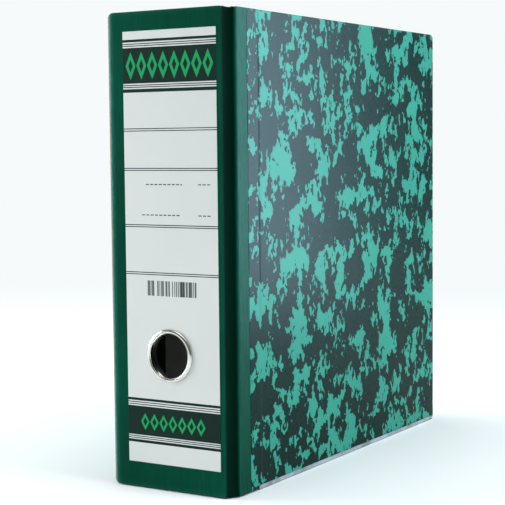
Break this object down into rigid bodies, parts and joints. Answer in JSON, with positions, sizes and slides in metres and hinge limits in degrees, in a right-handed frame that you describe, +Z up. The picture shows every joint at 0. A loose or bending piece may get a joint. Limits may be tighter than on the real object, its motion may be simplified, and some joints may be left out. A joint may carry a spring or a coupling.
{
  "type": "lever arch file",
  "caption": "Lever arch file standing on its lower edge: hinged covers and spine with a finger ring, and inside a lever that opens a wire arch over posts.",
  "frame": {"origin": "under the middle of the whole file, on the surface that it stands on", "axes": "+Z up, the spine faces -Y, the front cover is at +X and the back cover with the mechanism at -X"},
  "size_m": [0.0772, 0.2384, 0.24],
  "materials": {
    "bookcloth": "green vinyl-coated bookcloth, fine vertical grain",
    "marbled_paper": "glossy printed cover paper, black ground with mint-green marbling",
    "label_paper": "silver-white satin paper with dark printed bands",
    "greyboard": "pressed grey board",
    "black_cloth": "black lining cloth",
    "lining_paper": "grey lining paper, matt",
    "nickel_plate": "bright nickel-plated steel",
    "rail_steel": "thin galvanised edge rail",
    "spring_steel": "bare spring steel",
    "grip_plastic": "black moulded plastic"
  },
  "bodies": {
    "spine": {"spine_board": "greyboard", "spine_cloth": "bookcloth", "spine_lining": "black_cloth", "spine_label": "label_paper", "finger_ring": "nickel_plate", "finger_ring_washer": "nickel_plate", "front_joint_cloth": "bookcloth", "back_joint_cloth": "bookcloth"},
    "front_cover": {"front_board": "greyboard", "front_cloth_edge": "bookcloth", "front_paper": "marbled_paper", "front_inner_cloth": "black_cloth", "front_lining": "lining_paper", "front_rail": "rail_steel"},
    "back_cover": {"back_board": "greyboard", "back_cloth_edge": "bookcloth", "back_paper": "marbled_paper", "back_inner_cloth": "black_cloth", "back_lining": "lining_paper", "back_rail": "rail_steel", "base_plate": "nickel_plate", "plate_rivets": "nickel_plate", "lower_post": "nickel_plate", "upper_post": "nickel_plate", "lever_pin": "nickel_plate", "arch_spring": "spring_steel"},
    "arch": {"arch_wire": "nickel_plate"},
    "lever": {"lever_arm": "nickel_plate", "roller_pin": "nickel_plate", "lever_grip": "grip_plastic"},
    "roller": {"lever_roller": "nickel_plate"},
    "compressor": {"compressor_bar": "nickel_plate", "compressor_catches": "grip_plastic"}
  },
  "joints": [
    {"name": "front_cover_hinge", "type": "hinge", "parent": "spine", "child": "front_cover", "pos_m": [0.0365, -0.11439, 0.12], "axis": [0, 0, -1], "range_deg": [0, 175], "deforming": ["front_joint_cloth"]},
    {"name": "back_cover_hinge", "type": "hinge", "parent": "spine", "child": "back_cover", "pos_m": [-0.0361, -0.11439, 0.12], "axis": [0, 0, 1], "range_deg": [0, 175], "deforming": ["back_joint_cloth"]},
    {"name": "lever_pivot", "type": "hinge", "parent": "back_cover", "child": "lever", "pos_m": [-0.0191, -0.06509, 0.122], "axis": [0, 0, 1], "range_deg": [0, 95]},
    {"name": "arch_pivot", "type": "hinge", "parent": "back_cover", "child": "arch", "pos_m": [-0.0295, -0.08509, 0.122], "axis": [0, 0, -1], "range_deg": [0, 38]},
    {"name": "roller_spin", "type": "hinge", "parent": "lever", "child": "roller", "pos_m": [-0.0233, -0.06929, 0.122], "axis": [0, 0, 1], "continuous": true},
    {"name": "compressor_slide", "type": "slide", "parent": "back_cover", "child": "compressor", "axis": [1, 0, 0], "range_m": [0, 0.015]}
  ],
  "couplings": [
    {"joint": "arch_pivot", "follows": "lever_pivot", "ratio": 0.4}
  ]
}
